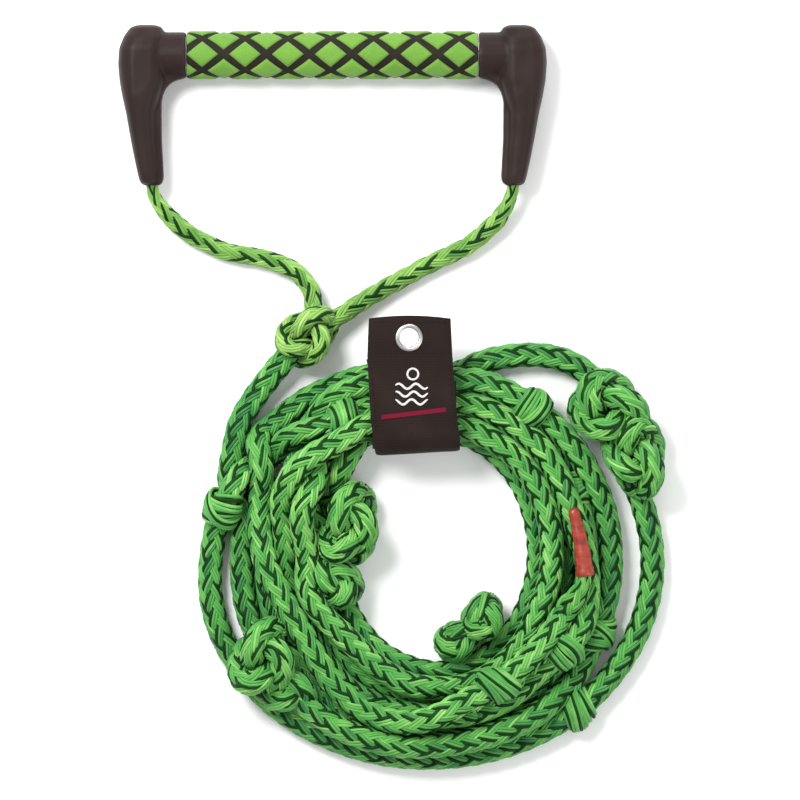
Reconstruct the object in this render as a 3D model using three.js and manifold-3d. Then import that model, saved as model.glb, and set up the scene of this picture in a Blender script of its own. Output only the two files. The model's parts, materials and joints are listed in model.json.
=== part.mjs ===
// Water-sports tow rope handle, lying flat, with its braided rope in a coil held by a keeper strap.
// Millimetres, +Z up. Origin: middle of the handle's footprint, on the surface that it lies on.
// +X runs along the bar and +Y points away from the rope, so the coil lies towards -Y.
import * as THREE from 'three';
import { mergeVertices } from 'three/addons/utils/BufferGeometryUtils.js';
import Module from 'manifold-3d';

const wasm = await Module();
wasm.setup();

// ---- Driving dimensions ----
const GAP = 0.3;                 // left between solids that touch on the real object

const BAR_Y = 29.9;              // the bar's axis, ahead of the handle's middle
const AXIS_Z = 15;               // mid-plane of the handle above the surface
const GUARD_THICKNESS = 30;
const EXIT_X = 106.8;            // where the bridle leaves each guard
const EXIT_Y = -47.7;

const BAR_R = 11;
const BAR_WALL = 1.5;
const BAR_HALF_LENGTH = 98;
const GRIP_HALF_LENGTH = 86;
const GRIP_R = 14.3;
const GRIP_SKIN = 1.3;           // green layer over the dark foam
const COLLAR_R = 13.6;

const BRIDLE_R = 6;              // the bridle rope lying free
const BRIDLE_SQUEEZED_R = 4;     // the same rope pressed into the bar and the guards
const ROPE_R = 8;                // main rope

const COIL_OUTER = { x: 57, y: -271, rx: 141.5, ry: 123.3 };
const COIL_HOLE = { x: 61.6, y: -263.7, rx: 54.2, ry: 65.7 };
const COIL_HEIGHT = 38.6;

const KEEPER_X0 = 21;            // the strap's two edges
const KEEPER_X1 = 75.5;
const STRAP = 1.8;               // thickness of the strap's webbing
const BUNDLE = { inner: -201.4, outer: -151.8, low: 2.5, high: COIL_HEIGHT, corner: 12 };
const TAB_END_Y = -124.6;
const FLAP_HINGE_Y = -149.2;
const FLAP_BEND_Y = -195.8;      // where the flap turns down over the bundle's inner side
const FLAP_Z = 43.8;             // mid-height of the front layer
const TAB_BACK_Z = 41.6;         // mid-height of the back layer under it
const EYELET = { x: 45.3, y: -137.6, hole: 5.6, barrel: 6.2, flange: 8.15 };

// ---- Materials ----
const material = (color, roughness, metalness = 0) =>
  new THREE.MeshStandardMaterial({ color, roughness, metalness });
const MOULDED = material(0x453736, 0.42);
const DARK_FOAM = material(0x17140f, 0.85);
const GREEN_FOAM = material(0x84ba48, 0.7);
const ROPE = material(0x5fb54a, 0.75);
const WEBBING = material(0x2f2422, 0.8);
const HOOK_AND_LOOP = material(0x14110f, 0.95);
const ALUMINIUM = material(0xb9bcc0, 0.35, 1);
const PLATED = material(0xc8cacc, 0.22, 1);
const RED_SLEEVE = material(0xa63a1e, 0.5);

// ---- Solids: joining and cutting ----
function toSolid(geometry) {
  const bare = geometry.clone();
  bare.deleteAttribute('normal');
  bare.deleteAttribute('uv');
  const merged = mergeVertices(bare, 1e-4);
  return new wasm.Manifold(new wasm.Mesh({
    numProp: 3,
    vertProperties: new Float32Array(merged.attributes.position.array),
    triVerts: new Uint32Array(merged.index.array),
  }));
}

function toGeometry(solid) {
  const mesh = solid.getMesh();
  const geometry = new THREE.BufferGeometry();
  geometry.setAttribute('position', new THREE.BufferAttribute(mesh.vertProperties, 3));
  geometry.setIndex(new THREE.BufferAttribute(mesh.triVerts, 1));
  geometry.computeVertexNormals();
  return geometry;
}

function cut(geometry, tools) {
  const left = tools.reduce((solid, tool) => solid.subtract(toSolid(tool)), toSolid(geometry));
  return toGeometry(left);
}

function join(geometries) {
  const [first, ...rest] = geometries.map(toSolid);
  return toGeometry(rest.reduce((solid, other) => solid.add(other), first));
}

// Rounds a sine or cosine towards a square, for sections between an ellipse and a rectangle.
const squared = (value, power) => Math.sign(value) * Math.abs(value) ** power;

// ---- Shapes used more than once ----
function tubeAlong(points, radius, steps, sides = 8) {
  const section = new THREE.Shape();
  section.absarc(0, 0, radius, 0, 2 * Math.PI);
  const path = new THREE.CatmullRomCurve3(points.map((p) => new THREE.Vector3(...p)), false, 'centripetal');
  return new THREE.ExtrudeGeometry(section, {
    steps, extrudePath: path, curveSegments: sides / 2, bevelEnabled: false,
  });
}

// A tube about the bar's axis, centred on x = 0.
function ringOnBar(innerR, outerR, halfLength, segments, chamfer = 0) {
  const corner = outerR - chamfer;
  const profile = [
    [innerR, halfLength], [innerR, -halfLength], [corner, -halfLength], [outerR, -halfLength + chamfer],
    [outerR, halfLength - chamfer], [corner, halfLength], [innerR, halfLength],
  ].filter((p, i, all) => i === 0 || p[0] !== all[i - 1][0] || p[1] !== all[i - 1][1]);
  const geometry = new THREE.LatheGeometry(profile.map((p) => new THREE.Vector2(...p)), segments);
  geometry.rotateZ(Math.PI / 2);
  geometry.translate(0, BAR_Y, AXIS_Z);
  return geometry;
}

// A flat ring about a vertical axis at the eyelet.
function ringOnEyelet(profile) {
  const geometry = new THREE.LatheGeometry(profile.map((p) => new THREE.Vector2(...p)), 20);
  geometry.rotateX(Math.PI / 2);
  geometry.translate(EYELET.x, EYELET.y, 0);
  return geometry;
}

// ---- Handle ----
// Right guard: [y, inner x, outer x, half thickness] from the head's top down to the rope's mouth.
const GUARD_STATIONS = [
  [47.7, 104, 116, 4], [46, 100.5, 120, 9], [41, 98.8, 123.6, 13.2], [34, 98.4, 126.4, 15.5],
  [25, 98.2, 127, 15.6], [15, 98.6, 126.2, 15.6], [6, 101.5, 124.6, 15.2], [-4, 104.4, 122.4, 13.8],
  [-18, 104.2, 119.9, 12.2], [-32, 103.4, 117.2, 11], [-42, 102.8, 115, 10.2], [-46.4, 103.2, 113.6, 9.4],
];

// The moulding's outer form: an upright column whose sections are rounded boxes, flat front and back.
function guardColumn() {
  const rows = GUARD_STATIONS.length - 1;
  const geometry = new THREE.CylinderGeometry(1, 1, 1, 20, rows);
  const position = geometry.attributes.position;
  for (let i = 0; i < position.count; i++) {
    const [y, inner, outer, half] = GUARD_STATIONS[Math.round((0.5 - position.getY(i)) * rows)];
    const x = (inner + outer) / 2 + (outer - inner) / 2 * squared(position.getX(i), 0.75);
    const z = AXIS_Z + half * squared(position.getZ(i), 0.75);
    position.setXYZ(i, x, y, THREE.MathUtils.clamp(z, 0, GUARD_THICKNESS));
  }
  return geometry;
}

// The thinner lip all round the moulding, with the fillet under the collar and the rope's mouth.
function guardLip() {
  const lipThickness = 13;
  const bevel = 2;
  const outline = new THREE.Shape();
  outline.moveTo(89, 17.5);
  outline.quadraticCurveTo(101.5, 16.5, 103.2, 2);
  outline.lineTo(103, -20);
  outline.lineTo(101.8, -42);
  outline.quadraticCurveTo(101.8, -45.7, 105, -45.7);
  outline.lineTo(109, -45.7);
  outline.quadraticCurveTo(112, -45.7, 112.8, -42);
  outline.lineTo(120, -4);
  outline.lineTo(122.5, 12);
  outline.lineTo(118, 30);
  outline.lineTo(98, 30);
  outline.closePath();
  const geometry = new THREE.ExtrudeGeometry(outline, {
    depth: lipThickness - 2 * bevel, bevelThickness: bevel, bevelSize: bevel, bevelSegments: 2, curveSegments: 6,
  });
  geometry.translate(0, 0, AXIS_Z - lipThickness / 2 + bevel);
  return geometry;
}

// Route of the bridle inside one guard, from the bar's end to the mouth; sign is -1 on the left.
const guardRoute = (sign) => [
  [92, 29.9], [99, 28.4], [105.5, 24], [109.6, 17], [111.6, 8], [112, -4], [110.6, -18], [108.6, -33], [EXIT_X, EXIT_Y],
].map(([x, y]) => [sign * x, y, AXIS_Z]);

// One moulding serves both ends: the left one is the right one turned over.
function fingerGuard() {
  const collar = new THREE.CylinderGeometry(COLLAR_R, COLLAR_R, 22, 24);
  collar.rotateZ(Math.PI / 2);
  collar.translate(GRIP_HALF_LENGTH + GAP + 11, BAR_Y, AXIS_Z);
  const socket = new THREE.CylinderGeometry(BAR_R + GAP, BAR_R + GAP, 20, 24);
  socket.rotateZ(Math.PI / 2);
  socket.translate(BAR_HALF_LENGTH + GAP - 10, BAR_Y, AXIS_Z);
  const beyondMouth = [EXIT_X - 0.4, EXIT_Y - 4, AXIS_Z];
  const channel = tubeAlong([...guardRoute(1), beyondMouth], BRIDLE_SQUEEZED_R + 0.5, 16, 10);
  return cut(join([guardColumn(), collar, guardLip()]), [socket, channel]);
}

// The bridle rope where the handle holds it: through one guard, the bar and the other guard.
function heldBridle() {
  const inGuard = guardRoute(1);
  const mouth = inGuard.pop();
  const right = [...inGuard, [mouth[0], mouth[1] + 1, mouth[2]]];
  const left = right.map(([x, y, z]) => [-x, y, z]).reverse();
  return tubeAlong([...left, [0, BAR_Y, AXIS_Z], ...right], BRIDLE_SQUEEZED_R, 60);
}

// ---- Knots ----
// A knot is a barrel with a few wraps: centre, half length, radius, half height and heading in degrees.
const YOKE_KNOT = { at: [-15.1, -136.5, 14.5], length: 21, radius: 15.5, height: 14, heading: 42, wraps: 3 };
const JOINT_KNOTS = {
  joint_knot_upper_right: { at: [171.4, -192.1, 19], length: 37, radius: 25, height: 18, heading: -58, wraps: 4 },
  joint_knot_inner_left: { at: [11.5, -248.3, 19.5], length: 30, radius: 18, height: 19, heading: 86, wraps: 3 },
  joint_knot_inner_low: { at: [78, -311.7, 19.5], length: 21, radius: 17, height: 19, heading: 40, wraps: 2 },
  joint_knot_lower_left: { at: [-41.7, -330.6, 20.5], length: 25, radius: 18, height: 20, heading: 70, wraps: 3 },
};
const WRAP_KNOTS = [
  [-71.9, -240, 100], [10.4, -181.4, 20], [125.8, -180.3, -40], [143.6, -221.7, -75],
  [93.8, -336, 15], [130.5, -325.3, 40], [161.3, -306.4, 60], [150.7, -351.9, 35],
].map(([x, y, heading]) => ({ at: [x, y, 31.5], length: 11, radius: 10.5, height: 9.5, heading, wraps: 2 }));

function knotBody(knot, grow = 0) {
  const geometry = new THREE.SphereGeometry(1, 10, 8);
  const position = geometry.attributes.position;
  for (let i = 0; i < position.count; i++) {
    const along = position.getY(i);
    const wrapped = 0.95 + 0.05 * Math.cos(2 * Math.PI * knot.wraps * along);
    const x = along * (knot.length + grow);
    const y = -position.getX(i) * (knot.radius + grow) * wrapped;
    const z = position.getZ(i) * (knot.height + grow) * wrapped;
    position.setXYZ(i, x, y, z);
  }
  geometry.rotateZ(THREE.MathUtils.degToRad(knot.heading));
  geometry.translate(...knot.at);
  return geometry;
}

// ---- Rope ----
const LEFT_LEG = [
  [-EXIT_X, EXIT_Y - 1, 15], [-EXIT_X, -52, 14.9], [-103.5, -58, 13], [-96, -67, 9.5], [-84.4, -76.7, 7], [-63.6, -86.7, 6.1],
  [-40, -90.3, 6.1], [-22, -97, 7], [-12, -109, 10], [-11, -124, 13],
];
const RIGHT_LEG = [
  [EXIT_X, EXIT_Y - 1, 15], [EXIT_X, -52, 14.9], [104, -58, 13], [98, -68, 9.5], [81.4, -82.6, 7], [57.7, -93.6, 6.1],
  [34, -106.3, 6.1], [18, -115.5, 8], [-2, -129, 13],
];
const LEAD = [
  [-22, -142, 14], [-33, -155.5, 11], [-45.5, -171.5, 9], [-55.5, -187.5, 9], [-63, -204, 10],
];
const TAIL = [
  [KEEPER_X1 + 4, -154, 18], [92, -150.5, 14], [108, -145.4, 9.5], [125.8, -144, 8.4], [140.6, -149.5, 9],
  [156, -165, 15],
];

const pointOn = (ellipse, angle) => [ellipse.x + ellipse.rx * Math.cos(angle), ellipse.y + ellipse.ry * Math.sin(angle)];

// The outer shape of the wound turns: a lathed ring, wider at its sides than at its top and bottom.
function coilRing(grow = 0) {
  const profile = [];
  const profileSteps = 12;
  for (let i = 0; i <= profileSteps; i++) {
    const a = 2 * Math.PI * i / profileSteps;
    profile.push(new THREE.Vector2(1.5 + 0.5 * squared(Math.cos(a), 0.7), squared(Math.sin(a), 0.7)));
  }
  const geometry = new THREE.LatheGeometry(profile, 36);
  geometry.rotateX(Math.PI / 2);
  const position = geometry.attributes.position;
  for (let i = 0; i < position.count; i++) {
    const angle = Math.atan2(position.getY(i), position.getX(i));
    const across = Math.hypot(position.getX(i), position.getY(i)) - 1;
    const inner = pointOn(COIL_HOLE, angle);
    const outer = pointOn(COIL_OUTER, angle);
    const width = Math.hypot(outer[0] - inner[0], outer[1] - inner[1]);
    const share = across + (across - 0.5) * 2 * grow / width;
    const z = COIL_HEIGHT / 2 + position.getZ(i) * (COIL_HEIGHT / 2 + grow);
    position.setXYZ(i, inner[0] + (outer[0] - inner[0]) * share, inner[1] + (outer[1] - inner[1]) * share, z);
  }
  return geometry;
}

// ---- Keeper strap ----
// Spreads a section drawn in the YZ plane across the strap's width.
function acrossKeeper(shape, x0 = KEEPER_X0, x1 = KEEPER_X1) {
  const geometry = new THREE.ExtrudeGeometry(shape, { depth: x1 - x0, bevelEnabled: false, curveSegments: 5 });
  const axes = [[0, 1, 0], [0, 0, 1], [1, 0, 0]].map((axis) => new THREE.Vector3(...axis));
  geometry.applyMatrix4(new THREE.Matrix4().makeBasis(...axes));
  geometry.translate(x0, 0, 0);
  return geometry;
}

// The section of a strap that follows a centre line.
function strapSection(path) {
  const line = path.getPoints(4).filter((p, i, all) => i === 0 || p.distanceTo(all[i - 1]) > 1e-6);
  const side = (half) => line.map((point, i) => {
    const before = line[Math.max(i - 1, 0)];
    const after = line[Math.min(i + 1, line.length - 1)];
    const along = after.clone().sub(before).normalize();
    return new THREE.Vector2(point.x - along.y * half, point.y + along.x * half);
  });
  return new THREE.Shape([...side(-STRAP / 2), ...side(STRAP / 2).reverse()]);
}

// The rope bundle inside the strap, squeezed to a rounded box.
function bundleSection() {
  const { inner, outer, low, high, corner } = BUNDLE;
  const shape = new THREE.Shape();
  shape.absarc(outer - corner, low + corner, corner, -Math.PI / 2, 0);
  shape.absarc(outer - corner, high - corner, corner, 0, Math.PI / 2);
  shape.absarc(inner + corner, high - corner, corner, Math.PI / 2, Math.PI);
  shape.absarc(inner + corner, low + corner, corner, Math.PI, 1.5 * Math.PI);
  return shape;
}

// Back layer: from the tab down the outer side, under the bundle, up and over its top.
function backStrap() {
  const clearance = 0.4 + STRAP / 2;
  const { inner, outer, low, high, corner } = BUNDLE;
  const turn = corner + clearance;
  const bend = 3;
  const path = new THREE.Path();
  path.moveTo(TAB_END_Y, TAB_BACK_Z);
  path.lineTo(outer + clearance + bend, TAB_BACK_Z);
  path.absarc(outer + clearance + bend, TAB_BACK_Z - bend, bend, Math.PI / 2, Math.PI);
  path.absarc(outer - corner, low + corner, turn, 0, -Math.PI / 2, true);
  path.absarc(inner + corner, low + corner, turn, -Math.PI / 2, -Math.PI, true);
  path.absarc(inner + corner, high - corner, turn, Math.PI, Math.PI / 2, true);
  path.lineTo(-163, high + clearance);
  return cut(acrossKeeper(strapSection(path)), [eyeletHole()]);
}

const eyeletHole = () => {
  const hole = new THREE.CylinderGeometry(EYELET.barrel + GAP, EYELET.barrel + GAP, 20, 20);
  hole.rotateX(Math.PI / 2);
  hole.translate(EYELET.x, EYELET.y, FLAP_Z);
  return hole;
};

function frontTab() {
  const path = new THREE.Path();
  path.moveTo(TAB_END_Y, FLAP_Z);
  path.lineTo(FLAP_HINGE_Y + GAP / 2, FLAP_Z);
  return cut(acrossKeeper(strapSection(path)), [eyeletHole()]);
}

function frontFlap() {
  const drop = 10;
  const path = new THREE.Path();
  path.moveTo(FLAP_HINGE_Y - GAP / 2, FLAP_Z);
  path.lineTo(FLAP_BEND_Y, FLAP_Z);
  path.absarc(FLAP_BEND_Y, FLAP_Z - drop, drop, Math.PI / 2, Math.PI);
  return acrossKeeper(strapSection(path));
}

const PATCH = { low: -187, high: -166, thickness: 0.6, inset: 3 };
function patch(z) {
  const geometry = new THREE.BoxGeometry(
    KEEPER_X1 - KEEPER_X0 - 2 * PATCH.inset, PATCH.high - PATCH.low, PATCH.thickness);
  geometry.translate((KEEPER_X0 + KEEPER_X1) / 2, (PATCH.low + PATCH.high) / 2, z);
  return geometry;
}

function eyelet() {
  const top = FLAP_Z + STRAP / 2 + GAP;
  const { hole, barrel, flange } = EYELET;
  return ringOnEyelet([[hole, 39.4], [barrel, 39.4], [barrel, top], [flange, top], [flange - 0.4, top + 0.8],
    [hole, top + 0.8], [hole, 39.4]]);
}

function eyeletWasher() {
  const { barrel, flange } = EYELET;
  const top = TAB_BACK_Z - STRAP / 2 - GAP;
  const inner = barrel + GAP;
  return ringOnEyelet([[inner, top - 0.8], [flange, top - 0.8], [flange, top], [inner, top], [inner, top - 0.8]]);
}

// ---- Red sleeve on the rope's far end ----
const SLEEVE = { from: [141.5, -238, 34], to: [150, -279, 34], r0: 4, r1: 5.6 };
function endSleeve(grow = 0) {
  const from = new THREE.Vector3(...SLEEVE.from);
  const to = new THREE.Vector3(...SLEEVE.to);
  const length = from.distanceTo(to) + 2 * grow;
  const geometry = new THREE.CylinderGeometry(SLEEVE.r1 + grow, SLEEVE.r0 + grow, length, 14);
  const turn = new THREE.Quaternion().setFromUnitVectors(
    new THREE.Vector3(0, 1, 0), to.clone().sub(from).normalize());
  geometry.applyQuaternion(turn);
  const middle = from.clone().add(to).multiplyScalar(0.5);
  geometry.translate(middle.x, middle.y, middle.z);
  return geometry;
}

// ---- The coil gives way to the keeper, the knots and the sleeve ----
function ropeCoil() {
  const slot = new THREE.BoxGeometry(KEEPER_X1 - KEEPER_X0 + 2 * GAP, 80, 120);
  slot.translate((KEEPER_X0 + KEEPER_X1) / 2, -175, 20);
  const overlap = 0.5;
  const squeezed = acrossKeeper(bundleSection(), KEEPER_X0 - GAP - overlap, KEEPER_X1 + GAP + overlap);
  const knots = [...Object.values(JOINT_KNOTS), ...WRAP_KNOTS].map((knot) => knotBody(knot, GAP));
  const slotted = cut(coilRing(), [slot]);
  return cut(join([slotted, squeezed]), [...knots, endSleeve(GAP)]);
}

function ropeStretch(points, radius, steps, tools) {
  return cut(tubeAlong(points, radius, steps), tools);
}

// ---- Assembly ----
const group = new THREE.Group();

function add(name, geometry, finish) {
  const mesh = new THREE.Mesh(geometry, finish);
  mesh.name = name;
  group.add(mesh);
  return mesh;
}

add('bar_tube', ringOnBar(BAR_R - BAR_WALL, BAR_R, BAR_HALF_LENGTH, 24), ALUMINIUM);
const skinInner = GRIP_R - GRIP_SKIN;
add('grip_foam_core', ringOnBar(BAR_R + GAP, skinInner - GAP, GRIP_HALF_LENGTH - 0.5, 24), DARK_FOAM);
add('grip_foam_skin', ringOnBar(skinInner, GRIP_R, GRIP_HALF_LENGTH, 28, 0.5), GREEN_FOAM);
add('finger_guard_right', fingerGuard(), MOULDED);
const leftGuard = add('finger_guard_left', fingerGuard(), MOULDED);
leftGuard.rotation.y = Math.PI;
leftGuard.position.z = GUARD_THICKNESS;
add('bridle_in_handle', heldBridle(), ROPE);

const yokeSpace = knotBody(YOKE_KNOT, GAP);
const upperRightSpace = knotBody(JOINT_KNOTS.joint_knot_upper_right, GAP);
add('bridle_leg_left', ropeStretch(LEFT_LEG, BRIDLE_R, 14, [yokeSpace]), ROPE);
add('bridle_leg_right', ropeStretch(RIGHT_LEG, BRIDLE_R, 14, [yokeSpace]), ROPE);
add('yoke_knot', knotBody(YOKE_KNOT), ROPE);
add('lead_rope', ropeStretch(LEAD, ROPE_R, 6, [yokeSpace, coilRing(GAP)]), ROPE);
add('tail_strand', ropeStretch(TAIL, ROPE_R, 8, [upperRightSpace, coilRing(GAP)]), ROPE);
add('rope_coil', ropeCoil(), ROPE);
Object.entries(JOINT_KNOTS).forEach(([name, knot]) => add(name, knotBody(knot), ROPE));
WRAP_KNOTS.forEach((knot, i) => add(`wrap_knot_${i + 1}`, knotBody(knot), ROPE));
add('rope_end_sleeve', endSleeve(), RED_SLEEVE);

add('keeper_back_strap', backStrap(), WEBBING);
add('keeper_front_tab', frontTab(), WEBBING);
add('keeper_front_flap', frontFlap(), WEBBING);
const loopZ = BUNDLE.high + 0.4 + STRAP + GAP + PATCH.thickness / 2;
add('keeper_loop_patch', patch(loopZ), HOOK_AND_LOOP);
add('keeper_hook_patch', patch(FLAP_Z - STRAP / 2 - GAP - PATCH.thickness / 2), HOOK_AND_LOOP);
add('grommet_eyelet', eyelet(), PLATED);
add('grommet_washer', eyeletWasher(), PLATED);

export default group;
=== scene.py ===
"""Looks of the tow rope handle, built around the CAD frame. Lengths are millimetres until a mesh is made."""
import json
import math

import bpy
import numpy as np
from mathutils import Vector
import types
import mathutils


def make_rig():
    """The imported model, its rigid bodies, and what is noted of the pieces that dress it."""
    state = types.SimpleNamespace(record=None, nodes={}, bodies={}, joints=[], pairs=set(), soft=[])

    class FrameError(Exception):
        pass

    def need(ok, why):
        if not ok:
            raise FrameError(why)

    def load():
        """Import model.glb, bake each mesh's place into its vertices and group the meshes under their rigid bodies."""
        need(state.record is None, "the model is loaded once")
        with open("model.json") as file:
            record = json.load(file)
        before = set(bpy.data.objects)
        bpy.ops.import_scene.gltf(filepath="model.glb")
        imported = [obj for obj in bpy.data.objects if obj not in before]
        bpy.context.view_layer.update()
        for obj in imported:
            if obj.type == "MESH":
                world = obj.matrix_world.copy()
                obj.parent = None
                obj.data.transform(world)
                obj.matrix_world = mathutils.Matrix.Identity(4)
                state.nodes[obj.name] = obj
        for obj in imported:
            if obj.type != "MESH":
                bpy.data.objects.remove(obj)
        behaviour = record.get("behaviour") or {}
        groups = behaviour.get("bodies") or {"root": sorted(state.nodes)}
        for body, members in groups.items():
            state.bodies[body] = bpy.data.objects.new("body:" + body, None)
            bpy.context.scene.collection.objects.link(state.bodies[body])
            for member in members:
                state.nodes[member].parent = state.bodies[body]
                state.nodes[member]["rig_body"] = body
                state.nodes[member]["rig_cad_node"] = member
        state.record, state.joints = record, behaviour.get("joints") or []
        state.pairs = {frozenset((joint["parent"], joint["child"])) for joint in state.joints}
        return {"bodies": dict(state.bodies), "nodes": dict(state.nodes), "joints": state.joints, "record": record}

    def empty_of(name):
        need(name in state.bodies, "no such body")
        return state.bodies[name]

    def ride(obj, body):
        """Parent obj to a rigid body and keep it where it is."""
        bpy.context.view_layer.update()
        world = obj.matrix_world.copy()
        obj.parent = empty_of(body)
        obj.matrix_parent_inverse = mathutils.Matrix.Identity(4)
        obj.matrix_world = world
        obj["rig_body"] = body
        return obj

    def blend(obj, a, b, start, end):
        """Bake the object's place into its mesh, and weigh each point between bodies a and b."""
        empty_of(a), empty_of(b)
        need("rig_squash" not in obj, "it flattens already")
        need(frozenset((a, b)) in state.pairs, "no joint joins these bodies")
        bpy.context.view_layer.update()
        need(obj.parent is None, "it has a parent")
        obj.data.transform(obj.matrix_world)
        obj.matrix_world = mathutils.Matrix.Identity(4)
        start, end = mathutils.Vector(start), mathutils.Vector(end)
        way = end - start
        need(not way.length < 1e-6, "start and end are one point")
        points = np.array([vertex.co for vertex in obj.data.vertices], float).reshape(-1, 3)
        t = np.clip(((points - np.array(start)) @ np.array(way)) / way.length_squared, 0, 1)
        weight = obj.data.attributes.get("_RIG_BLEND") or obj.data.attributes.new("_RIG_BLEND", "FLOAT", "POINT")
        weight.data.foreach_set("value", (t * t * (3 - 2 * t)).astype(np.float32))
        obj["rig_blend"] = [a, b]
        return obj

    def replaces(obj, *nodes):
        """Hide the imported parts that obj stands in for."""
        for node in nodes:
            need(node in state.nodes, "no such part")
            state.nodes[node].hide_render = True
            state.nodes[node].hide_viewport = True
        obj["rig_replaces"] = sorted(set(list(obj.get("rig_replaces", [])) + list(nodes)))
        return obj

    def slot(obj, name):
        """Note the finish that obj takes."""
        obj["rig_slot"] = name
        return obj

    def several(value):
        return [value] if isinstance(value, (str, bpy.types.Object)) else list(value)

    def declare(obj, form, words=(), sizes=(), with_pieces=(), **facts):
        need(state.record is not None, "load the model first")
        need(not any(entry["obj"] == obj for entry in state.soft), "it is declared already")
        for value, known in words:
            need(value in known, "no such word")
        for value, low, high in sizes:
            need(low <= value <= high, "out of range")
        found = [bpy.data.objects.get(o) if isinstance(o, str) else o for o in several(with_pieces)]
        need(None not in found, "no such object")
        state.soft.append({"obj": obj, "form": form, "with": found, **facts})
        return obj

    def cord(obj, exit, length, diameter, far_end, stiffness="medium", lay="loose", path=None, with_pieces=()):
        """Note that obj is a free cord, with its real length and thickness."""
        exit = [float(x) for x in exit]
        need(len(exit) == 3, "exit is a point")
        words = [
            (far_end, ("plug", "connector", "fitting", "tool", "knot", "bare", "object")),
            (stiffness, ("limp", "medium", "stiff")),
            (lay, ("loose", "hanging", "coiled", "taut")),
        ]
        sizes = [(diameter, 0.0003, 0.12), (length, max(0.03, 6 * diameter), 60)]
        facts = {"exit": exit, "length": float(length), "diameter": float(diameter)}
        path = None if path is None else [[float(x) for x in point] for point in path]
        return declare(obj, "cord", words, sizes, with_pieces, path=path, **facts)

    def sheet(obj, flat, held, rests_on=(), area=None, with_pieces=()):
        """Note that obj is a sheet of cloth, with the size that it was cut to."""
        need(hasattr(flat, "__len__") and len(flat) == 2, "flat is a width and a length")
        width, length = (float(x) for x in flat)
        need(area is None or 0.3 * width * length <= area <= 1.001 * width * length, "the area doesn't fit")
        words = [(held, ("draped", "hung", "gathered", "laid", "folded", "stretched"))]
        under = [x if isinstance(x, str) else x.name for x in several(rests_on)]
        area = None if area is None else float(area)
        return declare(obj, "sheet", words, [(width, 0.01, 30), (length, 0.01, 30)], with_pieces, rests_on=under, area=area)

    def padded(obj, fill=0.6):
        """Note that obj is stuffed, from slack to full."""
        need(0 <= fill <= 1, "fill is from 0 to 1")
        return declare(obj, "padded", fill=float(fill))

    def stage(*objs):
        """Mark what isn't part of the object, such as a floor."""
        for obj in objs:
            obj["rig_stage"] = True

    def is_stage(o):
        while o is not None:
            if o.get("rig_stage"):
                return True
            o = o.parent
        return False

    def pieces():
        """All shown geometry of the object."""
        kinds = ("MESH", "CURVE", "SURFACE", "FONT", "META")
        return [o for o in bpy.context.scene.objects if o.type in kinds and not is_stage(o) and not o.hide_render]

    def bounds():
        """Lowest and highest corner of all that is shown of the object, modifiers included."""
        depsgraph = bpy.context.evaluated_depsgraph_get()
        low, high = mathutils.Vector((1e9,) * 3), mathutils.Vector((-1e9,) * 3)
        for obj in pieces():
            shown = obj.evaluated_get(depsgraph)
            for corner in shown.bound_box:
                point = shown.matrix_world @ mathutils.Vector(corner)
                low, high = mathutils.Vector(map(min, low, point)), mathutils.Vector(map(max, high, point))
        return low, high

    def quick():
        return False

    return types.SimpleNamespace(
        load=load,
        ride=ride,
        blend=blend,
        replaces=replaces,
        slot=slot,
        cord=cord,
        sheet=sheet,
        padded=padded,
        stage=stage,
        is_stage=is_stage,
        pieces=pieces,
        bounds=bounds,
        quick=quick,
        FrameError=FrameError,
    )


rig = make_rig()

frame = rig.load()
cad_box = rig.bounds()

MM = 0.001
RANDOM = np.random.default_rng(7)

# ---- Sizes shared with the CAD, in millimetres ----
AXIS_Z = 15.0
BAR_Y = 29.9
EXIT = (106.8, -47.7)
GRIP_R = 14.3
GRIP_HALF = 86.0
GRIP_SKIN = 1.3
ROPE_R = 8.0
BRIDLE_R = 6.0
COIL_OUTER = dict(x=57.0, y=-271.0, rx=141.5, ry=123.3)
COIL_HOLE = dict(x=61.6, y=-263.7, rx=54.2, ry=65.7)
BUNDLE = dict(inner=-201.4, outer=-151.8, low=2.5, high=38.6)
KEEPER_X = (21.0, 75.5)


# ---- Mesh helpers ----
def mesh_object(name, verts, face_groups, materials, face_material=None, uv=None, tone=None, smooth=True):
    """A mesh object from points in millimetres and arrays of faces, each array with faces of one size."""
    mesh = bpy.data.meshes.new(name)
    verts = np.asarray(verts, np.float32) * MM
    loops = np.concatenate([np.asarray(g, np.int32).ravel() for g in face_groups])
    sizes = np.concatenate([np.full(len(g), np.asarray(g).shape[1], np.int32) for g in face_groups])
    starts = np.concatenate([[0], np.cumsum(sizes)[:-1]]).astype(np.int32)
    mesh.vertices.add(len(verts))
    mesh.vertices.foreach_set("co", verts.ravel())
    mesh.loops.add(len(loops))
    mesh.loops.foreach_set("vertex_index", loops)
    mesh.polygons.add(len(sizes))
    mesh.polygons.foreach_set("loop_start", starts)
    mesh.polygons.foreach_set("use_smooth", np.full(len(sizes), smooth))
    for material in materials:
        mesh.materials.append(material)
    if face_material is not None:
        mesh.polygons.foreach_set("material_index", np.asarray(face_material, np.int32))
    mesh.update(calc_edges=True)
    if uv is not None:
        layer = mesh.uv_layers.new(name="strand")
        layer.data.foreach_set("uv", np.asarray(uv, np.float32)[loops].ravel())
    if tone is not None:
        attribute = mesh.attributes.new("tone", "FLOAT", "POINT")
        attribute.data.foreach_set("value", np.asarray(tone, np.float32))
    obj = bpy.data.objects.new(name, mesh)
    bpy.context.scene.collection.objects.link(obj)
    return obj


def assign(piece, body, slot, *nodes):
    """Says which body a piece moves with, its slot, and the CAD nodes that it stands for."""
    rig.ride(piece, body)
    if nodes:
        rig.replaces(piece, *nodes)
    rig.slot(piece, slot)


def turns(count):
    """Evenly spaced angles of one turn."""
    return np.arange(count) * 2 * math.pi / count


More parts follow.
